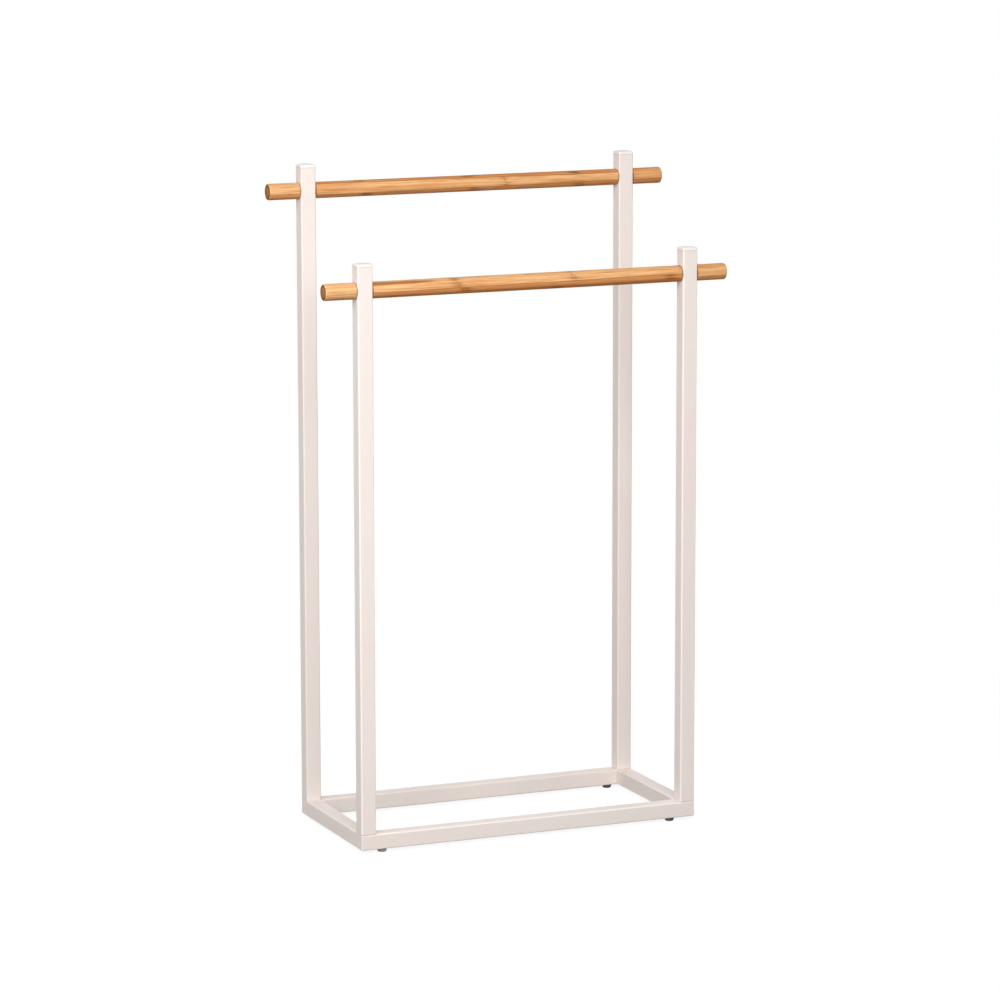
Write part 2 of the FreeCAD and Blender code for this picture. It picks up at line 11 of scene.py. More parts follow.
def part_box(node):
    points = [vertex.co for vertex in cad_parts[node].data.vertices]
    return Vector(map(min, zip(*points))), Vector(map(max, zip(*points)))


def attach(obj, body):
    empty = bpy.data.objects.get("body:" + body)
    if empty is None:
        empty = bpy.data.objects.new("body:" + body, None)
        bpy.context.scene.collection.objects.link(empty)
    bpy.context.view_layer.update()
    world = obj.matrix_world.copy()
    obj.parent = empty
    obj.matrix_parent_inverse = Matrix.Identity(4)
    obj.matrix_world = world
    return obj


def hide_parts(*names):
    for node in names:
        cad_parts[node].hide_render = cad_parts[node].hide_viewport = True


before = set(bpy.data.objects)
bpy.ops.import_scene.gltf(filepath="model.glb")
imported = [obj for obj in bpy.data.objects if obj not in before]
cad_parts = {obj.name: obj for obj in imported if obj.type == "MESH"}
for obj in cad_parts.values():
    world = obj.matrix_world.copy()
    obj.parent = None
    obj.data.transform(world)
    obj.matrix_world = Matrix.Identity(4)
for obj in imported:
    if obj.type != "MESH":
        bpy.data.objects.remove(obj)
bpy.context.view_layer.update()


# ---------------------------------------------------------------------------------------------------
# Base frame: four lengths of 19 mm square steel tube, mitred, welded into an open rectangle and
# ground flush outside. Frame and posts are powder coated a warm white and baked, which leaves a fine
# orange peel, slightly mottled and smoother along the tube's rounded corners. Those corners are also
# painted paler, a painted highlight standing in for the lamp's glint along them.
# ---------------------------------------------------------------------------------------------------

TUBE = 0.019
TUBE_CORNER = 0.0016
RAIL_LOW, RAIL_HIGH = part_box("base_right_rail")
POST_X = RAIL_HIGH.x - TUBE / 2
POST_Y = RAIL_HIGH.y - TUBE / 2
RAIL_Z = (RAIL_LOW.z + RAIL_HIGH.z) / 2

COAT_WHITE = (0.865, 0.780, 0.732)
COAT_PINK = (0.860, 0.754, 0.712)
COAT_CREAM = (0.855, 0.772, 0.706)
COAT_SPECK = (0.800, 0.720, 0.670)
COAT_EDGE_HIGHLIGHT = (0.920, 0.865, 0.820)
COAT_SEAM_SHADE = (0.560, 0.450, 0.410)
COAT_MOTTLE = 0.045
COAT_CLOUD = 0.160
COAT_DUST = 0.0007
ORANGE_PEEL = 0.0021
PEEL_DEPTH = 0.00005
COAT_ROUGHNESS = (0.36, 0.48)
CORNER_SMOOTHER = 0.10
COAT_SHINE = 0.30
SEAM_SHADE_LINE = (0.0009, 0.0003)


def add(tree, kind, inputs=None, **settings):
    """Add a node to a tree: an input given as a socket is linked, any other is set."""
    made = tree.nodes.new(kind)
    for name, value in settings.items():
        setattr(made, name, value)
    for key, value in (inputs or {}).items():
        if isinstance(value, bpy.types.NodeSocket):
            tree.links.new(value, made.inputs[key])
        else:
            made.inputs[key].default_value = value
    return made


def calculate(tree, operation, *values):
    return add(tree, "ShaderNodeMath", dict(enumerate(values)), operation=operation).outputs[0]


def rise(tree, value, start, end):
    """From 0 at start to 1 at end, smoothly."""
    inputs = {"Value": value, "From Min": start, "From Max": end}
    return add(tree, "ShaderNodeMapRange", inputs, interpolation_type="SMOOTHSTEP").outputs[0]


def between(tree, share, low, high):
    """A share from 0 to 1 spread over low to high."""
    return add(tree, "ShaderNodeMapRange", {"Value": share, "To Min": low, "To Max": high}).outputs[0]


def tint(tree, share, first, second, most=1.0):
    """A colour between two, each a socket or red, green and blue; most is the largest share."""
    if most < 1:
        share = calculate(tree, "MULTIPLY", share, most)
    colours = [c if isinstance(c, bpy.types.NodeSocket) else (*c, 1) for c in (first, second)]
    inputs = {0: share, 6: colours[0], 7: colours[1]}
    return add(tree, "ShaderNodeMix", inputs, data_type="RGBA").outputs[2]


def speckle(tree, place, grain, detail=2.0, roughness=0.5):
    """Noise with grains of a size in metres, or the place's own unit."""
    inputs = {"Vector": place, "Scale": 1 / grain, "Detail": detail, "Roughness": roughness}
    return add(tree, "ShaderNodeTexNoise", inputs).outputs[0]


def new_finish(name):
    """A material that reads Object coordinates: its tree, its shader and the coordinates."""
    finish = bpy.data.materials.new(name)
    finish.use_nodes = True
    tree = finish.node_tree
    tree.nodes.clear()
    shader = add(tree, "ShaderNodeBsdfPrincipled")
    add(tree, "ShaderNodeOutputMaterial", {"Surface": shader.outputs[0]})
    place = add(tree, "ShaderNodeTexCoord").outputs["Object"]
    return finish, tree, shader, place


def relief(tree, shader, height, depth):
    """Bump from heights of 0 to 1, depth metres high."""
    bump = add(tree, "ShaderNodeBump", {"Height": height, "Distance": depth})
    tree.links.new(bump.outputs[0], shader.inputs["Normal"])


def powder_coat(name, across, along, seam=None):
    """The white coat on a tube; across and along are the section's two axes and its centre on each.

    Up to the height seam the coat is darker, a painted shade for a joint's fine line and a weld's
    corner.
    """
    finish, tree, shader, place = new_finish(name)
    axes = add(tree, "ShaderNodeSeparateXYZ", {0: place})
    reach = []
    for axis, centre in (across, along):
        mirrored = calculate(tree, "ABSOLUTE", axes.outputs[axis])
        reach.append(calculate(tree, "ABSOLUTE", calculate(tree, "SUBTRACT", mirrored, centre)))
    outward = calculate(tree, "ADD", *reach)
    corner = rise(tree, outward, TUBE - TUBE_CORNER, TUBE - 0.6 * TUBE_CORNER)

    mottle = speckle(tree, place, COAT_MOTTLE, 3, 0.6)
    cloud = speckle(tree, place, COAT_CLOUD, 2, 0.5)
    peel = speckle(tree, place, ORANGE_PEEL, 3, 0.55)
    dust = speckle(tree, place, COAT_DUST, 1, 0.4)
    warm = tint(tree, rise(tree, mottle, 0.38, 0.62), COAT_PINK, COAT_CREAM)
    colour = tint(tree, rise(tree, cloud, 0.35, 0.65), warm, COAT_WHITE)
    colour = tint(tree, rise(tree, dust, 0.70, 0.78), colour, COAT_SPECK, 0.25)
    # painted highlight: the rounded corners are tinted paler for the lamp's glint along them
    colour = tint(tree, corner, colour, COAT_EDGE_HIGHLIGHT, 0.80)
    # painted shade: darker up to the seam height, for the shadow in a joint's hairline or a weld's
    # corner
    if seam is not None:
        line = rise(tree, axes.outputs["Z"], seam + SEAM_SHADE_LINE[0], seam + SEAM_SHADE_LINE[1])
        colour = tint(tree, line, colour, COAT_SEAM_SHADE, 0.70)
    tree.links.new(colour, shader.inputs["Base Color"])
    roughness = between(tree, mottle, *COAT_ROUGHNESS)
    roughness = calculate(tree, "MULTIPLY_ADD", corner, -CORNER_SMOOTHER, roughness)
    tree.links.new(roughness, shader.inputs["Roughness"])
    shader.inputs["Specular IOR Level"].default_value = COAT_SHINE
    relief(tree, shader, calculate(tree, "MULTIPLY_ADD", dust, 0.15, peel), PEEL_DEPTH)
    return finish


def dress(node, finish):
    """Give a CAD node its material; it stays as the CAD made it."""
    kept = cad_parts[node]
    kept.material_slots[0].material = finish


long_rail_coat = powder_coat("powder_coat_long_rails", ("Y", POST_Y), ("Z", RAIL_Z))
short_rail_coat = powder_coat("powder_coat_short_rails", ("X", POST_X), ("Z", RAIL_Z))
for node in ("base_front_rail", "base_rear_rail"):
    dress(node, long_rail_coat)
for node in ("base_left_rail", "base_right_rail"):
    dress(node, short_rail_coat)


# ---------------------------------------------------------------------------------------------------
# Corner welds: a short bead of weld stands in each inner corner of the base frame, the one place the
# grinder can't reach. It is steel laid down in overlapping puddles, under the same powder coat.
# ---------------------------------------------------------------------------------------------------

WELD_RADIUS = 0.0011
WELD_PUDDLE = 0.0012
WELD_END_GAP = 0.0012
WELD_TIP = 0.03
WELD_TAPER = 0.25
WELD_STATIONS = 90
WELD_SIDES = 20
WELD_SEED = 4.0
PUDDLE_LEAST = 0.70
PUDDLE_CREST = 0.16
HAND_SWELL = 0.35
HAND_SCALE = 260.0


def new_tree(name, sizes):
    """An empty Geometry Nodes tree with named inputs: (name, kind, value) for each."""
    tree = bpy.data.node_groups.new(name, "GeometryNodeTree")
    tree.interface.new_socket("Geometry", in_out="INPUT", socket_type="NodeSocketGeometry")
    for size, kind, value in sizes:
        socket = tree.interface.new_socket(size, in_out="INPUT", socket_type="NodeSocket" + kind)
        if value is not None:
            socket.default_value = value
    tree.interface.new_socket("Geometry", in_out="OUTPUT", socket_type="NodeSocketGeometry")
    return tree, add(tree, "NodeGroupInput").outputs


def end_tree(tree, geometry, finish):
    """Make the instances real, give them their material and send them out."""
    real = add(tree, "GeometryNodeRealizeInstances", {0: geometry}).outputs[0]
    coated = add(tree, "GeometryNodeSetMaterial", {"Geometry": real, "Material": finish}).outputs[0]
    add(tree, "NodeGroupOutput", {0: coated})


def grow(name, tree_sizes, start=None):
    """Run one or more trees, each with its sizes, and keep the result as a new piece's plain mesh."""
    source = bpy.data.objects.new(name + "_source", start or bpy.data.meshes.new(name + "_source"))
    bpy.context.scene.collection.objects.link(source)
    for tree, sizes in tree_sizes:
        modifier = source.modifiers.new(tree.name, "NODES")
        modifier.node_group = tree
        sockets = {s.name: s.identifier for s in tree.interface.items_tree if s.in_out == "INPUT"}
        for size, value in sizes.items():
            modifier[sockets[size]] = value
    graph = bpy.context.evaluated_depsgraph_get()
    mesh = bpy.data.meshes.new_from_object(source.evaluated_get(graph))
    bpy.data.objects.remove(source)
    mesh.name = name
    piece = bpy.data.objects.new(name, mesh)
    bpy.context.scene.collection.objects.link(piece)
    return piece


def fit(piece, slot, *nodes):
    """Fix a piece on the stand and hide the CAD nodes that it stands for; slot is not used."""
    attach(piece, "root")
    if nodes:
        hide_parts(*nodes)


def smooth(piece, sharp_degrees=35):
    piece.data.shade_smooth()
    piece.data.set_sharp_from_angle(angle=math.radians(sharp_degrees))


INNER_X = POST_X - TUBE / 2
INNER_Y = POST_Y - TUBE / 2

# painted shade: the whole bead lies below the seam height, darkened for the shade of the inner corner
weld_coat = powder_coat("powder_coat_welds", ("X", INNER_X), ("Y", INNER_Y), seam=RAIL_HIGH.z)
weld_tree, size = new_tree("weld_beads", [
    ("Width", "Float", 0.4), ("Depth", "Float", 0.17), ("Low", "Float", 0.0), ("High", "Float", 0.02),
    ("Radius", "Float", 0.001), ("Puddle", "Float", 0.001), ("Seed", "Float", 0.0),
])
corners = add(weld_tree, "GeometryNodeMeshGrid", {
    "Size X": size["Width"], "Size Y": size["Depth"], "Vertices X": 2, "Vertices Y": 2})
seam = add(weld_tree, "GeometryNodeCurvePrimitiveLine", {
    "Start": add(weld_tree, "ShaderNodeCombineXYZ", {"Z": size["Low"]}).outputs[0],
    "End": add(weld_tree, "ShaderNodeCombineXYZ", {"Z": size["High"]}).outputs[0]})
stations = add(weld_tree, "GeometryNodeResampleCurve", {
    "Curve": seam.outputs[0], "Count": WELD_STATIONS})
seams = add(weld_tree, "GeometryNodeInstanceOnPoints", {
    "Points": corners.outputs[0], "Instance": stations.outputs[0]})
seams = add(weld_tree, "GeometryNodeRealizeInstances", {0: seams.outputs[0]})
spot = add(weld_tree, "GeometryNodeInputPosition").outputs[0]
height = add(weld_tree, "ShaderNodeSeparateXYZ", {0: spot}).outputs["Z"]
hand = add(weld_tree, "ShaderNodeTexNoise", {
    "Vector": spot, "W": size["Seed"], "Scale": HAND_SCALE, "Detail": 1.0},
    noise_dimensions="4D").outputs[0]
puddle = calculate(weld_tree, "FRACT", calculate(
    weld_tree, "ADD", calculate(weld_tree, "DIVIDE", height, size["Puddle"]), hand))
crest = calculate(weld_tree, "MULTIPLY_ADD", calculate(weld_tree, "SINE", calculate(
    weld_tree, "MULTIPLY", puddle, math.pi)), PUDDLE_CREST, PUDDLE_LEAST)
swell = calculate(weld_tree, "MULTIPLY_ADD", hand, HAND_SWELL, crest)
along = add(weld_tree, "GeometryNodeSplineParameter").outputs["Factor"]
taper = calculate(weld_tree, "POWER", calculate(weld_tree, "SINE", calculate(
    weld_tree, "MULTIPLY_ADD", along, math.pi * (1 - 2 * WELD_TIP), math.pi * WELD_TIP)), WELD_TAPER)
thickness = calculate(
    weld_tree, "MULTIPLY", swell, calculate(weld_tree, "MULTIPLY", taper, size["Radius"]))
seams = add(weld_tree, "GeometryNodeSetCurveRadius", {"Curve": seams.outputs[0], "Radius": thickness})
round_section = add(weld_tree, "GeometryNodeCurvePrimitiveCircle", {
    "Resolution": WELD_SIDES, "Radius": 1.0})
beads = add(weld_tree, "GeometryNodeCurveToMesh", {
    "Curve": seams.outputs[0], "Profile Curve": round_section.outputs[0], "Fill Caps": True,
    "Scale": add(weld_tree, "GeometryNodeInputRadius").outputs[0]})
end_tree(weld_tree, beads.outputs[0], weld_coat)

welds = grow("corner_welds", [(weld_tree, {
    "Width": 2 * INNER_X, "Depth": 2 * INNER_Y,
    "Low": RAIL_LOW.z + WELD_END_GAP, "High": RAIL_HIGH.z - WELD_END_GAP,
    "Radius": WELD_RADIUS, "Puddle": WELD_PUDDLE, "Seed": WELD_SEED,
})])
smooth(welds, 60)
fit(welds, "powder_coat")


# ---------------------------------------------------------------------------------------------------
# Posts: four uprights of the same square tube, cut square and stood on the frame's corners. They
# have the same white powder coat; the rear pair is 100 mm taller than the front pair.
# ---------------------------------------------------------------------------------------------------

# painted shade: a thin dark line at each post's foot, for the shadow where it stands on the frame
post_coat = powder_coat("powder_coat_posts", ("X", POST_X), ("Y", POST_Y), seam=RAIL_HIGH.z)
for row in ("front", "rear"):
    for side in ("left", "right"):
        dress(f"post_{row}_{side}", post_coat)


# ---------------------------------------------------------------------------------------------------
# Post caps: domed caps of white polypropylene, injection moulded, pushed into the tops of the posts
# and held there by ribs. The plastic is a little whiter and smoother than the powder coat.
# ---------------------------------------------------------------------------------------------------

CAP_WHITE = (0.905, 0.868, 0.835)
CAP_SHADE = (0.880, 0.840, 0.806)
CAP_SEAM_SHADE = (0.420, 0.370, 0.340)
CAP_SHADE_HEIGHT = 0.0006
CAP_GRAIN = 0.0009
CAP_ROUGHNESS = (0.30, 0.44)
POLYPROPYLENE_IOR = 1.49
FLOW_MARK = 0.012
GRAIN_DEPTH = 0.00003


def moulded_plastic(name, main, shade, grain, roughness, ior):
    """Moulded plastic or rubber: faint flow marks, an even spark-eroded grain, a soft sheen."""
    finish, tree, shader, place = new_finish(name)
    flow = speckle(tree, place, FLOW_MARK, 3, 0.6)
    grit = speckle(tree, place, grain, 2, 0.5)
    tree.links.new(tint(tree, rise(tree, flow, 0.35, 0.70), main, shade), shader.inputs["Base Color"])
    tree.links.new(between(tree, grit, *roughness), shader.inputs["Roughness"])
    shader.inputs["IOR"].default_value = ior
    relief(tree, shader, grit, GRAIN_DEPTH)
    return finish, tree, shader


for row in ("front", "rear"):
    cap_plastic, tree, shader = moulded_plastic(
        f"cap_plastic_{row}", CAP_WHITE, CAP_SHADE, CAP_GRAIN, CAP_ROUGHNESS, POLYPROPYLENE_IOR)
    cap_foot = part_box(f"post_{row}_left")[1].z
    axes = add(tree, "ShaderNodeSeparateXYZ", {0: add(tree, "ShaderNodeTexCoord").outputs["Object"]})
    # painted shade: the cap's lowest edge is darkened for the shadow line where it sits on the post
    seam = rise(tree, axes.outputs["Z"], cap_foot + CAP_SHADE_HEIGHT, cap_foot + CAP_SHADE_HEIGHT / 3)
    plain = shader.inputs["Base Color"].links[0].from_socket
    tree.links.new(tint(tree, seam, plain, CAP_SEAM_SHADE, 0.75), shader.inputs["Base Color"])
    for side in ("left", "right"):
        dress(f"cap_{row}_{side}", cap_plastic)


# ---------------------------------------------------------------------------------------------------
# Corner joints: under each post an M6 socket-head screw and a flat washer pull the post's threaded
# plug down on the frame. All are steel, turned or stamped, and bright zinc plated.
# ---------------------------------------------------------------------------------------------------

ZINC = (0.640, 0.650, 0.660)
ZINC_DULL = (0.500, 0.505, 0.510)
ZINC_BLUE = (0.560, 0.610, 0.680)
ZINC_ROUGHNESS = (0.26, 0.46)
PLATING_DRIFT = 0.004
TARNISH_PATCH = 0.011
TOOL_MARK = 0.0004
MARK_DEPTH = 0.00001
M6_RADIUS = 0.003
M6_PITCH = 0.001
M6_DEPTH = 0.0006
SCREW_LOW, SCREW_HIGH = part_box("base_bolts")
HEAD_HEIGHT = 0.006
HEAD_RADIUS = 0.005
HEAD_EASE = 0.0005
HEX_ACROSS = 0.005
HEX_DEPTH = 0.003
KNURL_DEPTH = 0.00018
SCREW_STEPS = 48
UNEVEN_SCALE = 45.0


def bright_metal(name, main, dull, tarnish, roughness):
    """Metal with drifts of dulled plating, a little tarnish and fine tool marks."""
    finish, tree, shader, place = new_finish(name)
    drift = speckle(tree, place, PLATING_DRIFT, 4, 0.6)
    stain = speckle(tree, place, TARNISH_PATCH, 2, 0.5)
    mark = speckle(tree, place, TOOL_MARK, 2, 0.5)
    colour = tint(tree, rise(tree, drift, 0.35, 0.68), main, dull)
    colour = tint(tree, rise(tree, stain, 0.48, 0.70), colour, tarnish, 0.6)
    tree.links.new(colour, shader.inputs["Base Color"])
    tree.links.new(between(tree, drift, *roughness), shader.inputs["Roughness"])
    shader.inputs["Metallic"].default_value = 1.0
    relief(tree, shader, mark, MARK_DEPTH)
    return finish


zinc_plate = bright_metal("zinc_plate", ZINC, ZINC_DULL, ZINC_BLUE, ZINC_ROUGHNESS)
for node in ("post_plugs", "base_washers"):
    dress(node, zinc_plate)


def turning_tree(name, finish):
    """A lathe: turns an outline of (along, radius) points about X.

    Points may be cut to a thread, a hexagon or a straight knurl, as their attributes say.
    """
    tree, size = new_tree(name, [
        ("Steps", "Int", 48), ("Pitch", "Float", 0.001), ("Thread depth", "Float", 0.0006),
        ("Knurl depth", "Float", 0.0002), ("Unevenness", "Float", 0.0), ("Seed", "Float", 0.0),
    ])
    count = add(tree, "GeometryNodeAttributeDomainSize", {0: size["Geometry"]}).outputs["Point Count"]
    rows = calculate(tree, "ADD", size["Steps"], 1)
    sheet = add(tree, "GeometryNodeMeshGrid", {"Vertices X": count, "Vertices Y": rows}).outputs[0]
    index = add(tree, "GeometryNodeInputIndex").outputs[0]
    turn = calculate(tree, "FLOORED_MODULO", index, rows)
    station = calculate(tree, "FLOOR", calculate(tree, "DIVIDE", index, rows))

    def from_outline(kind, value):
        sample = add(tree, "GeometryNodeSampleIndex", {"Geometry": size["Geometry"], "Index": station},
                     data_type=kind)
        tree.links.new(value, sample.inputs["Value"])
        return sample.outputs[0]

    def flag(attribute):
        named = add(tree, "GeometryNodeInputNamedAttribute", {"Name": attribute}, data_type="FLOAT")
        return from_outline("FLOAT", named.outputs[0])

    outline = from_outline("FLOAT_VECTOR", add(tree, "GeometryNodeInputPosition").outputs[0])
    outline = add(tree, "ShaderNodeSeparateXYZ", {0: outline}).outputs
    share = calculate(tree, "DIVIDE", turn, size["Steps"])
    angle = calculate(tree, "MULTIPLY", share, -2 * math.pi)

    helix = calculate(tree, "FRACT", calculate(
        tree, "ADD", calculate(tree, "DIVIDE", outline["X"], size["Pitch"]), share))
    groove = calculate(tree, "ABSOLUTE", calculate(tree, "MULTIPLY_ADD", helix, 2.0, -1.0))
    thread = calculate(tree, "MULTIPLY", calculate(tree, "MULTIPLY", groove, size["Thread depth"]),
                       flag("thread"))
    tooth = calculate(tree, "FLOORED_MODULO", turn, 2.0)
    knurl = calculate(tree, "MULTIPLY", calculate(tree, "MULTIPLY", tooth, size["Knurl depth"]),
                      flag("knurl"))
    sixth = calculate(tree, "SUBTRACT", calculate(
        tree, "FRACT", calculate(tree, "MULTIPLY_ADD", share, 6.0, 0.5)), 0.5)
    flat = calculate(tree, "COSINE", calculate(tree, "MULTIPLY", sixth, math.pi / 3))
    hexagon = calculate(tree, "SUBTRACT", calculate(tree, "DIVIDE", 1.0, flat), 1.0)
    stretch = calculate(tree, "MULTIPLY_ADD", hexagon, flag("hexagon"), 1.0)
    radius = calculate(tree, "SUBTRACT", calculate(tree, "SUBTRACT", calculate(
        tree, "MULTIPLY", outline["Y"], stretch), thread), knurl)

    def on_circle(reach):
        return add(tree, "ShaderNodeCombineXYZ", {
            "X": outline["X"],
            "Y": calculate(tree, "MULTIPLY", reach, calculate(tree, "COSINE", angle)),
            "Z": calculate(tree, "MULTIPLY", reach, calculate(tree, "SINE", angle))}).outputs[0]

    bend = add(tree, "ShaderNodeTexNoise", {
        "Vector": on_circle(radius), "W": size["Seed"], "Scale": UNEVEN_SCALE, "Detail": 2.0},
        noise_dimensions="4D").outputs[0]
    worn = calculate(tree, "SUBTRACT", 1.0, calculate(tree, "MULTIPLY", bend, size["Unevenness"]))
    place = on_circle(calculate(tree, "MULTIPLY", radius, worn))
    turned = add(tree, "GeometryNodeSetPosition", {"Geometry": sheet, "Position": place}).outputs[0]
    closed = add(tree, "GeometryNodeMergeByDistance", {
        "Geometry": turned, "Distance": 1e-6}).outputs[0]
    end_tree(tree, closed, finish)
    return tree


def outline_of(name, points):
    """The points of a turned piece: (along, radius) or (along, radius, cut) with the kind of cut."""
    mesh = bpy.data.meshes.new(name + "_outline")
    steps = [(i, i + 1) for i in range(len(points) - 1)]
    mesh.from_pydata([(p[0], p[1], 0) for p in points], steps, [])
    for cut in ("thread", "knurl", "hexagon"):
        values = [float(len(p) > 2 and p[2] == cut) for p in points]
        mesh.attributes.new(cut, "FLOAT", "POINT").data.foreach_set("value", values)
    return mesh


def threaded(start, end, radius, pitch, per_turn=4):
    """Stations along a thread, a few for each turn."""
    count = round(abs(end - start) / pitch * per_turn)
    return [(start + (end - start) * i / count, radius, "thread") for i in range(count + 1)]


def place_copies(tree, size, spots, turn, finish):
    """Copies of a turned piece on the spots, lifted to their place."""
    copies = add(tree, "GeometryNodeInstanceOnPoints", {
        "Points": spots, "Instance": size["Geometry"], "Rotation": turn}).outputs[0]
    real = add(tree, "GeometryNodeRealizeInstances", {0: copies}).outputs[0]
    lift = add(tree, "ShaderNodeCombineXYZ", {"Y": size["Across"], "Z": size["Height"]}).outputs[0]
    moved = add(tree, "GeometryNodeSetPosition", {"Geometry": real, "Offset": lift}).outputs[0]
    end_tree(tree, moved, finish)
    return tree


def four_corners(name, finish):
    """Stands a copy at each corner of a rectangle, its X upwards."""
    tree, size = new_tree(name, [
        ("Width", "Float", 0.4), ("Depth", "Float", 0.2), ("Across", "Float", 0.0),
        ("Height", "Float", 0.0),
    ])
    spots = add(tree, "GeometryNodeMeshGrid", {
        "Size X": size["Width"], "Size Y": size["Depth"], "Vertices X": 2, "Vertices Y": 2}).outputs[0]
    upright = add(tree, "ShaderNodeCombineXYZ", {"Y": -math.pi / 2}).outputs[0]
    return place_copies(tree, size, spots, upright, finish)


zinc_turning = turning_tree("zinc_turning", zinc_plate)
zinc_corners = four_corners("zinc_corners", zinc_plate)
head_low = SCREW_LOW.z
seat = head_low + HEAD_HEIGHT
shank = SCREW_HIGH.z - seat
screw_outline = [
    (HEX_DEPTH - HEAD_HEIGHT, 0.0),
    (HEX_DEPTH - HEAD_HEIGHT, HEX_ACROSS / 2, "hexagon"),
    (-HEAD_HEIGHT, HEX_ACROSS / 2, "hexagon"),
    (-HEAD_HEIGHT, HEAD_RADIUS - HEAD_EASE),
    (-HEAD_HEIGHT + HEAD_EASE, HEAD_RADIUS),
    (-HEAD_HEIGHT + 2 * HEAD_EASE, HEAD_RADIUS, "knurl"),
    (-HEAD_EASE, HEAD_RADIUS, "knurl"),
    (-HEAD_EASE / 2, HEAD_RADIUS),
    (0.0, HEAD_RADIUS - HEAD_EASE / 2),
    (0.0, M6_RADIUS),
    *threaded(M6_PITCH / 2, shank - HEAD_EASE, M6_RADIUS, M6_PITCH),
    (shank, M6_RADIUS - M6_DEPTH),
    (shank, 0.0),
]
screws = grow("corner_screws", [
    (zinc_turning, {"Steps": SCREW_STEPS, "Pitch": M6_PITCH, "Thread depth": M6_DEPTH,
                    "Knurl depth": KNURL_DEPTH}),
    (zinc_corners, {"Width": 2 * POST_X, "Depth": 2 * POST_Y, "Height": seat}),
], outline_of("screw", screw_outline))
smooth(screws, 30)
fit(screws, "zinc_steel", "base_bolts")


# ---------------------------------------------------------------------------------------------------
# Bars: 20 mm rods of laminated bamboo. Strips of the split culm are glued in a stack, and the rod is
# turned from it, sanded and oiled. Each bar stands between two posts, with a short stub of another
# such rod outside each post; the ends are eased and the free rims rounded over.
# ---------------------------------------------------------------------------------------------------

ROD_RADIUS = 0.010
ROD_EASE = 0.0004
RIM = 0.0015
STUD_BORE = 0.00302
STUD_IN_STUB = 0.024
INSERT_BORE = 0.00452
INSERT_LENGTH = 0.013
ROD_STEPS = 96
RIM_STEPS = 6
STATION = 0.004
ROD_UNEVENNESS = 0.006

BAMBOO_PALE = (0.930, 0.570, 0.280)
BAMBOO_DEEP = (0.560, 0.185, 0.038)
BAMBOO_FIBRE = (0.430, 0.142, 0.028)
BAMBOO_NODE = (0.290, 0.085, 0.014)
BAMBOO_GLUE = (0.340, 0.120, 0.026)
BAMBOO_SCORCH = (0.110, 0.040, 0.012)
BAMBOO_ROUGHNESS = (0.46, 0.60)
BAMBOO_SHINE = 0.12
BAMBOO_RELIEF = 0.00005
END_ROUGHER = 0.12

# In millimetres: the widths of a strip and of its figure, streaks, bundles and fibres, and how far
# from the node, the joint or the axis each mark starts and is full. STRETCH draws the grain out
# along the rod.
STRIP = 5.5
FIGURE = 2.6
STREAK = 1.1
BUNDLE = 0.9
FIBRE = 0.34
STRETCH = 0.030
WANDER = 1.6
WANDER_SCALE = 0.011
NODE_BURN = (13.0, 1.0)
NODE_DASHES = (6.0, 3.5)
NODE_RING = (0.7, 0.2)
NODE_SLANT = 0.45
NODE_BOW = 5.0
SCORCH_INNER = (5.0, 7.5)
SCORCH_OUTER = (9.3, 8.4)
JOINT_SHADE = (1.7, 0.7)
WIDEST_SPACING = 500.0


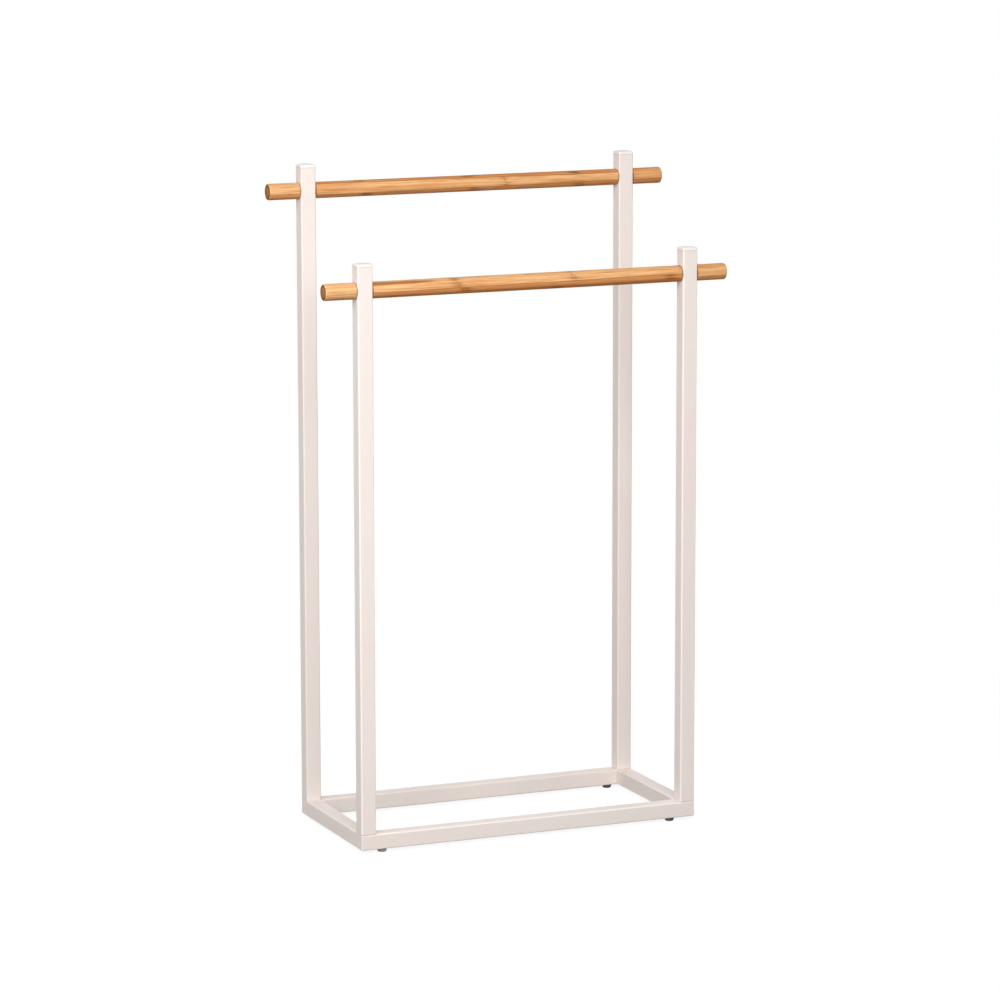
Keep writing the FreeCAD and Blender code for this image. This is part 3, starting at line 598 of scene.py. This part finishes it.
def bamboo(name, centre, joint, lean, first_glue, drift, seed, strips):
    """Laminated bamboo along X, worked out in millimetres from the rod's axis.

    centre is a point on the axis, and joint how far from the middle the rod meets a post. lean is the
    angle of the stack above the horizontal towards the front, first_glue the depth of the first glue
    line, and drift how far that line wanders along the rod. strips gives each strip's tone from pale
    to deep, the place of one node and the distance between nodes, from the outermost strip inwards.
    """
    finish, tree, shader, place = new_finish(name)
    aligned = Euler((math.radians(lean), 0, 0)).to_matrix() @ (Vector(centre) * 1000)
    rod = add(tree, "ShaderNodeMapping", {
        "Vector": place, "Location": -aligned, "Rotation": (math.radians(lean), 0, 0),
        "Scale": (1000, 1000, 1000)}).outputs[0]
    axes = add(tree, "ShaderNodeSeparateXYZ", {0: rod}).outputs
    wander = add(tree, "ShaderNodeTexNoise", {
        "Vector": rod, "Scale": WANDER_SCALE, "Detail": 1.0}).outputs[0]
    depth = calculate(tree, "MULTIPLY_ADD", axes["X"], drift, axes["Y"])
    depth = calculate(tree, "MULTIPLY_ADD", calculate(tree, "SUBTRACT", wander, 0.5), WANDER, depth)
    layer = calculate(tree, "DIVIDE", calculate(
        tree, "ADD", depth, 1000 * ROD_RADIUS - first_glue), STRIP)
    strip = calculate(tree, "FLOOR", layer)
    inside = calculate(tree, "FRACT", layer)
    to_edge = calculate(tree, "ABSOLUTE", calculate(tree, "SUBTRACT", inside, 0.5))
    glue = rise(tree, to_edge, 0.430, 0.480)

    each = add(tree, "ShaderNodeValToRGB", {0: calculate(
        tree, "DIVIDE", calculate(tree, "ADD", strip, 1.5), float(len(strips)))})
    each.color_ramp.interpolation = "CONSTANT"
    stops = each.color_ramp.elements
    for count, (tone, node, spacing) in enumerate(strips):
        stop = stops[count] if count < 2 else stops.new(0.999)
        stop.position = count / len(strips)
        stop.color = (tone, (node / spacing) % 1.0, spacing / WIDEST_SPACING, 1)
    tone, node, spacing = add(tree, "ShaderNodeSeparateColor", {0: each.outputs[0]}).outputs
    spacing = calculate(tree, "MULTIPLY", spacing, WIDEST_SPACING)

    along = add(tree, "ShaderNodeMapping", {
        "Vector": rod, "Location": (17.0 * seed, 0, 0), "Scale": (STRETCH, 1.0, 1.0)}).outputs[0]
    shift = calculate(tree, "MULTIPLY", strip, 7.3)
    shifted = add(tree, "ShaderNodeCombineXYZ", {"Y": shift}).outputs[0]
    along = add(tree, "ShaderNodeVectorMath", {0: along, 1: shifted}).outputs[0]
    fibre = speckle(tree, along, FIBRE, 3, 0.6)
    figure = speckle(tree, along, FIGURE, 3, 0.60)
    streak = speckle(tree, along, STREAK, 2, 0.50)
    cell = add(tree, "ShaderNodeTexVoronoi", {"Vector": along, "Scale": 1 / BUNDLE}).outputs[0]
    denser = between(tree, inside, 0.35, 1.0)
    bundle = calculate(tree, "MULTIPLY", rise(tree, cell, 0.36, 0.16), denser)

    colour = tint(tree, tone, BAMBOO_PALE, BAMBOO_DEEP)
    colour = tint(tree, rise(tree, figure, 0.36, 0.64), colour, BAMBOO_DEEP, 0.50)
    colour = tint(tree, rise(tree, streak, 0.48, 0.68), colour, BAMBOO_FIBRE, 0.46)
    colour = tint(tree, rise(tree, fibre, 0.35, 0.75), colour, BAMBOO_FIBRE, 0.16)
    colour = tint(tree, calculate(tree, "MULTIPLY", bundle, figure), colour, BAMBOO_FIBRE, 0.55)
    colour = tint(tree, glue, colour, BAMBOO_GLUE, 0.80)

    bow = speckle(tree, rod, 4.5, 1, 0.5)
    slope = calculate(tree, "MULTIPLY_ADD", axes["Z"], NODE_SLANT, axes["X"])
    slope = calculate(tree, "MULTIPLY_ADD", calculate(tree, "SUBTRACT", bow, 0.5), NODE_BOW, slope)
    phase = calculate(tree, "SUBTRACT", calculate(tree, "DIVIDE", slope, spacing), node)
    nearest = calculate(tree, "FRACT", calculate(tree, "ADD", phase, 0.5))
    nearest = calculate(tree, "SUBTRACT", nearest, 0.5)
    away = calculate(tree, "ABSOLUTE", calculate(tree, "MULTIPLY", nearest, spacing))
    slanted = add(tree, "ShaderNodeMapping", {
        "Vector": rod, "Rotation": (0.2, 0.2, 0.5), "Scale": (0.42, 1.1, 1.1)}).outputs[0]
    fleck = speckle(tree, slanted, 0.9, 2, 0.6)
    burn = calculate(tree, "MULTIPLY", rise(tree, away, *NODE_BURN), rise(tree, figure, 0.34, 0.58))
    burn = calculate(tree, "MULTIPLY", burn, between(tree, tone, 0.32, 1.00))
    colour = tint(tree, burn, colour, BAMBOO_NODE)
    dashes = calculate(tree, "MULTIPLY", rise(tree, away, *NODE_DASHES), rise(tree, fleck, 0.54, 0.62))
    colour = tint(tree, dashes, colour, BAMBOO_NODE, 0.60)
    colour = tint(tree, rise(tree, away, *NODE_RING), colour, BAMBOO_NODE, 0.35)

    facing = add(tree, "ShaderNodeSeparateXYZ", {0: add(tree, "ShaderNodeTexCoord").outputs["Normal"]})
    end_grain = rise(tree, calculate(tree, "ABSOLUTE", facing.outputs["X"]), 0.80, 0.97)
    pores = calculate(tree, "MULTIPLY", end_grain, calculate(tree, "MULTIPLY_ADD", bundle, 0.25, 0.72))
    colour = tint(tree, pores, colour, BAMBOO_GLUE)
    from_axis = calculate(tree, "MULTIPLY", axes["Z"], axes["Z"])
    from_axis = calculate(tree, "SQRT", calculate(
        tree, "MULTIPLY_ADD", axes["Y"], axes["Y"], from_axis))
    scorch = calculate(
        tree, "MULTIPLY", rise(tree, from_axis, *SCORCH_INNER), rise(tree, from_axis, *SCORCH_OUTER))
    colour = tint(tree, calculate(tree, "MULTIPLY", scorch, end_grain), colour, BAMBOO_SCORCH, 0.75)
    # painted shade: the rod darkens within a couple of millimetres of where it meets a post
    reach = calculate(tree, "ABSOLUTE", calculate(
        tree, "SUBTRACT", calculate(tree, "ABSOLUTE", axes["X"]), joint))
    colour = tint(tree, rise(tree, reach, *JOINT_SHADE), colour, BAMBOO_NODE, 0.75)
    tree.links.new(colour, shader.inputs["Base Color"])
    roughness = between(tree, fibre, *BAMBOO_ROUGHNESS)
    roughness = calculate(tree, "MULTIPLY_ADD", end_grain, END_ROUGHER, roughness)
    tree.links.new(roughness, shader.inputs["Roughness"])
    grain = calculate(tree, "MULTIPLY_ADD", bundle, -0.4, fibre)
    grain = calculate(tree, "MULTIPLY_ADD", glue, -0.5, grain)
    relief(tree, shader, grain, BAMBOO_RELIEF)
    shader.inputs["Specular IOR Level"].default_value = BAMBOO_SHINE
    return finish


def rod_outline(start, end, start_bore, end_bore, start_rim, end_rim):
    """Half the section of a rod along X; a bore is (radius, depth) or None, a rim is its rounding."""
    swings = [math.pi / 2 * step / RIM_STEPS for step in range(RIM_STEPS + 1)]
    first = [(start + start_rim * (1 - math.cos(t)), ROD_RADIUS - start_rim * (1 - math.sin(t)))
             for t in swings]
    last = [(end - end_rim * (1 - math.sin(t)), ROD_RADIUS - end_rim * (1 - math.cos(t)))
            for t in swings]
    run = last[0][0] - first[-1][0]
    count = round(run / STATION)
    barrel = [(first[-1][0] + run * step / count, ROD_RADIUS) for step in range(1, count)]

    def closing(face, bore, inward):
        if bore is None:
            return [(face, 0.0)]
        floor = face + inward * bore[1]
        return [(floor, 0.0), (floor, bore[0]), (face, bore[0])]

    return closing(start, start_bore, 1) + first + barrel + last + closing(end, end_bore, -1)[::-1]


def turn_rod(name, finish, points, back, height, seed):
    """A rod on the lathe, then moved to its place."""
    tree = turning_tree(name + "_turning", finish)
    rod = grow(name, [(tree, {"Steps": ROD_STEPS, "Unevenness": ROD_UNEVENNESS, "Seed": float(seed)})],
               outline_of(name, points))
    rod.data.transform(Matrix.Translation((0, back, height)))
    smooth(rod)
    return rod


# Each strip is (tone, the place of a node, the distance between nodes).
RODS = {
    "front_bar": dict(joint=201, lean=52, first_glue=4.5, drift=0.006, seed=3, strips=(
        (0.14, -96, 150), (0.66, -87, 267), (1.0, 30, 210), (0.6, -10, 190))),
    "front_bar_end_left": dict(joint=220, lean=38, first_glue=4.3, drift=0.0, seed=5, strips=(
        (0.03, 0, 500), (0.08, 0, 500), (0.9, 0, 500), (1.0, 0, 500))),
    "front_bar_end_right": dict(joint=220, lean=30, first_glue=4.3, drift=0.0, seed=6, strips=(
        (0.17, 0, 500), (0.62, 0, 500), (0.9, 0, 500), (1.0, 0, 500))),
    "rear_bar": dict(joint=201, lean=10, first_glue=2.0, drift=0.003, seed=8, strips=(
        (0.20, 48, 290), (0.72, 3, 142), (0.9, 60, 180), (0.9, -50, 200), (0.6, 0, 500))),
    "rear_bar_end_left": dict(joint=220, lean=33, first_glue=3.6, drift=0.0, seed=9, strips=(
        (0.07, 0, 500), (0.55, 0, 500), (0.9, 0, 500), (1.0, 0, 500))),
    "rear_bar_end_right": dict(joint=220, lean=25, first_glue=2.6, drift=0.0, seed=4, strips=(
        (0.40, 0, 500), (0.64, 0, 500), (0.8, 0, 500), (1.0, 0, 500))),
}
insert_bore = (INSERT_BORE, INSERT_LENGTH)
stud_bore = (STUD_BORE, STUD_IN_STUB)
for node, look in RODS.items():
    low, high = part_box(node)
    back, height = (low.y + high.y) / 2, (low.z + high.z) / 2
    if node.endswith("left"):
        outline = rod_outline(low.x, high.x, None, stud_bore, RIM, ROD_EASE)
    elif node.endswith("right"):
        outline = rod_outline(low.x, high.x, stud_bore, None, ROD_EASE, RIM)
    else:
        outline = rod_outline(low.x, high.x, insert_bore, insert_bore, ROD_EASE, ROD_EASE)
    wood = bamboo("bamboo_" + node, (0, back, height), **look)
    name = node.replace("bar", "bamboo_bar", 1)
    rod = turn_rod(name, wood, outline, back, height, look["seed"])
    fit(rod, "bamboo", node)


# ---------------------------------------------------------------------------------------------------
# Bar joints: an M6 hanger stud of zinc-plated steel is screwed and glued into each stub. It passes
# through the post and turns into a brass insert in the bar's end, which pulls stub, post and bar
# together.
# ---------------------------------------------------------------------------------------------------

BRASS = (0.800, 0.590, 0.290)
BRASS_DULL = (0.640, 0.450, 0.210)
BRASS_BROWN = (0.480, 0.320, 0.150)
BRASS_ROUGHNESS = (0.24, 0.42)
INSERT_RADIUS = 0.0045
INSERT_PITCH = 0.0016
INSERT_DEPTH = 0.0005
INSERT_EASE = 0.0004
STUD_IN_BAR = 0.011
STUD_POINT = 0.001
STUD_STEPS = 28


def two_ends(name, finish):
    """Sets a copy at each end of a bar, with its X pointing away from the bar's middle."""
    tree, size = new_tree(name, [
        ("Width", "Float", 0.4), ("Across", "Float", 0.0), ("Height", "Float", 0.0),
    ])
    left = calculate(tree, "MULTIPLY", size["Width"], -0.5)
    ends = add(tree, "GeometryNodeMeshLine", {
        "Count": 2,
        "Start Location": add(tree, "ShaderNodeCombineXYZ", {"X": left}).outputs[0],
        "Offset": add(tree, "ShaderNodeCombineXYZ", {"X": size["Width"]}).outputs[0]}).outputs[0]
    index = add(tree, "GeometryNodeInputIndex").outputs[0]
    half_turn = calculate(tree, "MULTIPLY", calculate(tree, "SUBTRACT", 1.0, index), math.pi)
    turn = add(tree, "ShaderNodeCombineXYZ", {"Z": half_turn}).outputs[0]
    return place_copies(tree, size, ends, turn, finish)


brass = bright_metal("brass", BRASS, BRASS_DULL, BRASS_BROWN, BRASS_ROUGHNESS)
brass_turning = turning_tree("brass_turning", brass)
zinc_ends = two_ends("zinc_ends", zinc_plate)
brass_ends = two_ends("brass_ends", brass)
stud_start = -(TUBE + STUD_IN_BAR)
stud_outline = [
    (stud_start, 0.0),
    (stud_start, M6_RADIUS - STUD_POINT),
    *threaded(stud_start + STUD_POINT, STUD_IN_STUB - STUD_POINT, M6_RADIUS, M6_PITCH),
    (STUD_IN_STUB, M6_RADIUS - STUD_POINT),
    (STUD_IN_STUB, 0.0),
]
insert_outline = [
    (-INSERT_LENGTH, STUD_BORE),
    (-INSERT_LENGTH, INSERT_RADIUS - INSERT_EASE),
    *threaded(INSERT_EASE - INSERT_LENGTH, -INSERT_EASE, INSERT_RADIUS, INSERT_PITCH, 6),
    (0.0, INSERT_RADIUS - INSERT_EASE),
    (0.0, STUD_BORE),
    (-INSERT_LENGTH, STUD_BORE),
]
for row in ("front", "rear"):
    low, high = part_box(row + "_bar")
    middle = {"Across": (low.y + high.y) / 2, "Height": (low.z + high.z) / 2}
    studs = grow(row + "_hanger_studs", [
        (zinc_turning, {"Steps": STUD_STEPS, "Pitch": M6_PITCH, "Thread depth": M6_DEPTH}),
        (zinc_ends, {"Width": 2 * (POST_X + TUBE / 2), **middle}),
    ], outline_of("stud", stud_outline))
    smooth(studs, 30)
    fit(studs, "zinc_steel", row + "_bar_studs")
    inserts = grow(row + "_brass_inserts", [
        (brass_turning, {"Steps": STUD_STEPS, "Pitch": INSERT_PITCH, "Thread depth": INSERT_DEPTH}),
        (brass_ends, {"Width": high.x - low.x, **middle}),
    ], outline_of("insert", insert_outline))
    smooth(inserts, 30)
    fit(inserts, "brass", row + "_bar_inserts")


# ---------------------------------------------------------------------------------------------------
# Feet: four black rubber buttons, moulded, pushed up into holes in the front and rear rails and held
# there by a barb. They have a fine moulded grain and pick up dust. The front left one is painted grey,
# a painted highlight standing in for the key lamp's glare on it.
# ---------------------------------------------------------------------------------------------------

RUBBER = (0.045, 0.043, 0.042)
RUBBER_DUST = (0.130, 0.125, 0.120)
RUBBER_HIGHLIGHT = (0.350, 0.344, 0.334)
RUBBER_HIGHLIGHT_PALE = (0.460, 0.452, 0.440)
FOOT_GRAIN = 0.0006
FOOT_ROUGHNESS = (0.42, 0.62)
RUBBER_IOR = 1.52


def foot_rubber(name, main, dust):
    return moulded_plastic(name, main, dust, FOOT_GRAIN, FOOT_ROUGHNESS, RUBBER_IOR)[0]


black_rubber = foot_rubber("foot_rubber", RUBBER, RUBBER_DUST)
for node in ("foot_front_right", "foot_rear_left", "foot_rear_right"):
    dress(node, black_rubber)
# painted highlight: the front left foot is grey for the key lamp's glare on it
highlighted_rubber = foot_rubber("foot_rubber_highlight", RUBBER_HIGHLIGHT, RUBBER_HIGHLIGHT_PALE)
dress("foot_front_left", highlighted_rubber)


# ---------------------------------------------------------------------------------------------------
# Studio: a white floor in a white room, one large soft lamp high at the front left, a small one at
# the left and another low behind, to the right. The camera stands where the photograph was taken.
# ---------------------------------------------------------------------------------------------------

CAMERA_PLACE = Vector((-2.0455, -4.8349, 1.3224))
CAMERA_YAW = 22.971
CAMERA_PITCH = 9.967
CAMERA_ROLL = -0.091
CAMERA_LENS = 157.07
FLOOR_RADIUS = 40.0
FLOOR_SIDES = 64
FLOOR_GREY = 0.28
FLOOR_SHADE = 0.20
FLOOR_GLOW = 0.88
SHADOW_REACH = (0.45, 1.10)
WHITE_ROOM = 0.20


def aim(place, target):
    return (Vector(target) - Vector(place)).to_track_quat("-Z", "Y").to_euler()


def soft_lamp(name, place, target, width, height, watts):
    lamp = bpy.data.lights.new(name, "AREA")
    lamp.shape = "RECTANGLE"
    lamp.size = width
    lamp.size_y = height
    lamp.energy = watts
    holder = bpy.data.objects.new(name, lamp)
    holder.location = place
    holder.rotation_euler = aim(place, target)
    bpy.context.scene.collection.objects.link(holder)
    return holder


def seen_straight(tree):
    """1 where the camera sees the surface, also in a reflection or through glass, and 0 for light."""
    ray = add(tree, "ShaderNodeLightPath").outputs
    mirrored = calculate(tree, "MAXIMUM", ray["Is Glossy Ray"], ray["Is Transmission Ray"])
    return calculate(tree, "MAXIMUM", ray["Is Camera Ray"], mirrored)


soft_lamp("key_softbox", place=(-1.05, -2.50, 2.00), target=(0, 0, 0.40),
          width=2.5, height=2.2, watts=97.0)
soft_lamp("side_softbox", place=(-1.70, -0.60, 1.10), target=(-0.10, 0, 0.42),
          width=0.9, height=1.2, watts=10.5)
fill = soft_lamp("back_fill", place=(1.90, 2.90, 1.00), target=(0, 0, 0.40),
                 width=2.0, height=1.4, watts=50.0)
fill.visible_glossy = False

world = bpy.data.worlds.new("white_room")
world.use_nodes = True
room = world.node_tree
room.nodes.clear()
strength = between(room, seen_straight(room), WHITE_ROOM, 1.0)
glow = add(room, "ShaderNodeBackground", {"Color": (1, 1, 1, 1), "Strength": strength})
add(room, "ShaderNodeOutputWorld", {"Surface": glow.outputs[0]})
bpy.context.scene.world = world

floor_mesh = bpy.data.meshes.new("floor")
rim = [(FLOOR_RADIUS * math.cos(a), FLOOR_RADIUS * math.sin(a), 0)
       for a in (2 * math.pi * i / FLOOR_SIDES for i in range(FLOOR_SIDES))]
floor_mesh.from_pydata(rim, [], [list(range(FLOOR_SIDES))])
floor = bpy.data.objects.new("floor", floor_mesh)
bpy.context.scene.collection.objects.link(floor)
floor_paint = bpy.data.materials.new("floor_paint")
floor_paint.use_nodes = True
tree = floor_paint.node_tree
tree.nodes.clear()
spread = add(tree, "ShaderNodeVectorMath", {0: add(tree, "ShaderNodeTexCoord").outputs["Object"]},
             operation="LENGTH").outputs["Value"]
far = rise(tree, spread, *SHADOW_REACH)
plain, matt = (add(tree, "ShaderNodeBsdfDiffuse", {"Color": (grey, grey, grey, 1)}).outputs[0]
               for grey in (FLOOR_GREY, FLOOR_SHADE))
glow = add(tree, "ShaderNodeEmission", {"Strength": FLOOR_GLOW}).outputs[0]
shaded = add(tree, "ShaderNodeAddShader", {0: matt, 1: glow}).outputs[0]
bright = add(tree, "ShaderNodeEmission", {"Strength": 1.0}).outputs[0]
shown = add(tree, "ShaderNodeMixShader", {0: far, 1: shaded, 2: bright}).outputs[0]
paint = add(tree, "ShaderNodeMixShader", {0: seen_straight(tree), 1: plain, 2: shown}).outputs[0]
add(tree, "ShaderNodeOutputMaterial", {"Surface": paint})
floor.data.materials.append(floor_paint)

yaw, pitch, roll = (math.radians(v) for v in (CAMERA_YAW, CAMERA_PITCH, CAMERA_ROLL))
ahead = Vector((math.sin(yaw) * math.cos(pitch), math.cos(yaw) * math.cos(pitch), -math.sin(pitch)))
level = Vector((math.cos(yaw), -math.sin(yaw), 0))
upright = level.cross(ahead)
right = math.cos(roll) * level + math.sin(roll) * upright
up = math.cos(roll) * upright - math.sin(roll) * level
lens = bpy.data.cameras.new("camera")
lens.lens = CAMERA_LENS
lens.sensor_width = 36.0
lens.clip_end = 200.0
camera = bpy.data.objects.new("camera", lens)
turned = Matrix((right, up, -ahead)).transposed().to_4x4()
camera.matrix_world = Matrix.Translation(CAMERA_PLACE) @ turned
bpy.context.scene.collection.objects.link(camera)
bpy.context.scene.camera = camera
bpy.context.scene.view_settings.view_transform = "Standard"
